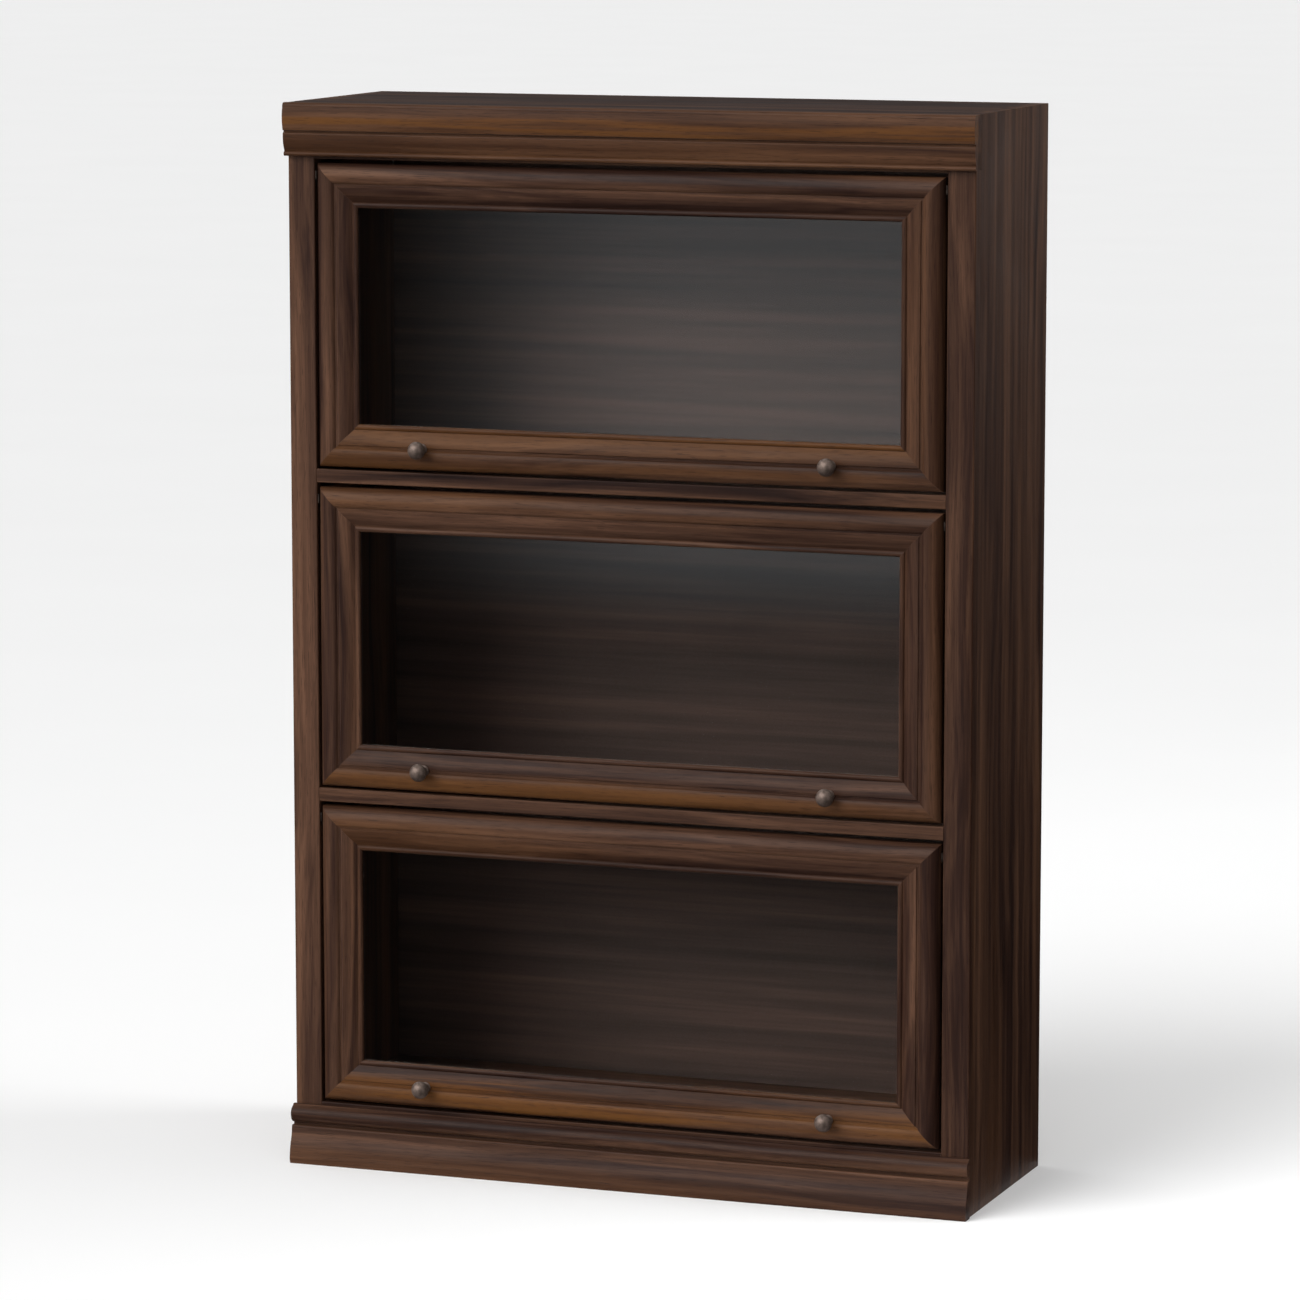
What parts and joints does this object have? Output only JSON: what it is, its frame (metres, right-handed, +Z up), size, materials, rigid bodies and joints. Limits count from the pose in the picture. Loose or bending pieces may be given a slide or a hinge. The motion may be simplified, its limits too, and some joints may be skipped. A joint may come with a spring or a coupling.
{
  "type": "barrister bookcase",
  "caption": "Free-standing bookcase with stacked compartments behind framed glass doors that swing up on edge pins and slide back over the books.",
  "frame": {"origin": "centre of the whole object's box on the floor, between the knob fronts and the back panel", "axes": "+Z up, +X to the right as seen from the front, +Y from the door side to the back"},
  "size_m": [0.84, 0.3102, 1.257],
  "materials": {
    "walnut_moulding": "satin walnut-look foil over moulded board, dark streaky grain",
    "walnut_board": "satin walnut-look laminate on particleboard, dark streaky grain",
    "inner_board": "matt dark brown laminate",
    "runner_wood": "dark stained hardwood, waxed",
    "back_board": "thin hardboard, dark printed face",
    "door_glass": "clear float glass",
    "retainer_plastic": "soft dark brown strip",
    "knob_metal": "antique pewter, worn on the rim",
    "steel": "zinc plated",
    "dark_steel": "bronzed dark, satin",
    "zinc": "die-cast, matt",
    "nylon": "dark brown nylon",
    "felt": "dense brown felt"
  },
  "bodies": {
    "case": {"back_panel": "back_board", "back_panel_nails": "steel", "base_front_rail": "inner_board", "base_moulding": "walnut_moulding", "base_rear_rail": "inner_board", "bottom_deck": "walnut_board", "cam_bolts": "steel", "cam_locks": "zinc", "cornice_moulding": "walnut_moulding", "front_stile_left": "walnut_board", "front_stile_right": "walnut_board", "guide_rail_screws": "steel", "guide_rails_left": "runner_wood", "guide_rails_right": "runner_wood", "header_rail": "walnut_board", "lower_shelf": "walnut_board", "side_panel_left": "walnut_board", "side_panel_right": "walnut_board", "top_panel": "walnut_board", "upper_shelf": "walnut_board", "wall_rail": "inner_board"},
    "lower_carriage": {"lower_door_follower_strip": "runner_wood", "lower_door_brackets": "dark_steel", "lower_door_slide_blocks": "nylon", "lower_door_bumpers": "felt"},
    "lower_door": {"lower_door_top_rail": "walnut_moulding", "lower_door_bottom_rail": "walnut_moulding", "lower_door_left_stile": "walnut_moulding", "lower_door_right_stile": "walnut_moulding", "lower_door_glass": "door_glass", "lower_door_glass_retainer": "retainer_plastic", "lower_door_knobs": "knob_metal", "lower_door_knob_screws": "steel", "lower_door_pivot_pins": "dark_steel"},
    "middle_carriage": {"middle_door_follower_strip": "runner_wood", "middle_door_brackets": "dark_steel", "middle_door_slide_blocks": "nylon", "middle_door_bumpers": "felt"},
    "middle_door": {"middle_door_top_rail": "walnut_moulding", "middle_door_bottom_rail": "walnut_moulding", "middle_door_left_stile": "walnut_moulding", "middle_door_right_stile": "walnut_moulding", "middle_door_glass": "door_glass", "middle_door_glass_retainer": "retainer_plastic", "middle_door_knobs": "knob_metal", "middle_door_knob_screws": "steel", "middle_door_pivot_pins": "dark_steel"},
    "upper_carriage": {"upper_door_follower_strip": "runner_wood", "upper_door_brackets": "dark_steel", "upper_door_slide_blocks": "nylon", "upper_door_bumpers": "felt"},
    "upper_door": {"upper_door_top_rail": "walnut_moulding", "upper_door_bottom_rail": "walnut_moulding", "upper_door_left_stile": "walnut_moulding", "upper_door_right_stile": "walnut_moulding", "upper_door_glass": "door_glass", "upper_door_glass_retainer": "retainer_plastic", "upper_door_knobs": "knob_metal", "upper_door_knob_screws": "steel", "upper_door_pivot_pins": "dark_steel"}
  },
  "joints": [
    {"name": "lower_door_slide", "type": "slide", "parent": "case", "child": "lower_carriage", "axis": [0, 1, 0], "range_m": [0, 0.25]},
    {"name": "lower_door_swing", "type": "hinge", "parent": "lower_carriage", "child": "lower_door", "pos_m": [0, -0.1189, 0.417], "axis": [-1, 0, 0], "range_deg": [0, 90]},
    {"name": "middle_door_slide", "type": "slide", "parent": "case", "child": "middle_carriage", "axis": [0, 1, 0], "range_m": [0, 0.25]},
    {"name": "middle_door_swing", "type": "hinge", "parent": "middle_carriage", "child": "middle_door", "pos_m": [0, -0.1189, 0.795], "axis": [-1, 0, 0], "range_deg": [0, 90]},
    {"name": "upper_door_slide", "type": "slide", "parent": "case", "child": "upper_carriage", "axis": [0, 1, 0], "range_m": [0, 0.25]},
    {"name": "upper_door_swing", "type": "hinge", "parent": "upper_carriage", "child": "upper_door", "pos_m": [0, -0.1189, 1.173], "axis": [-1, 0, 0], "range_deg": [0, 90]}
  ]
}
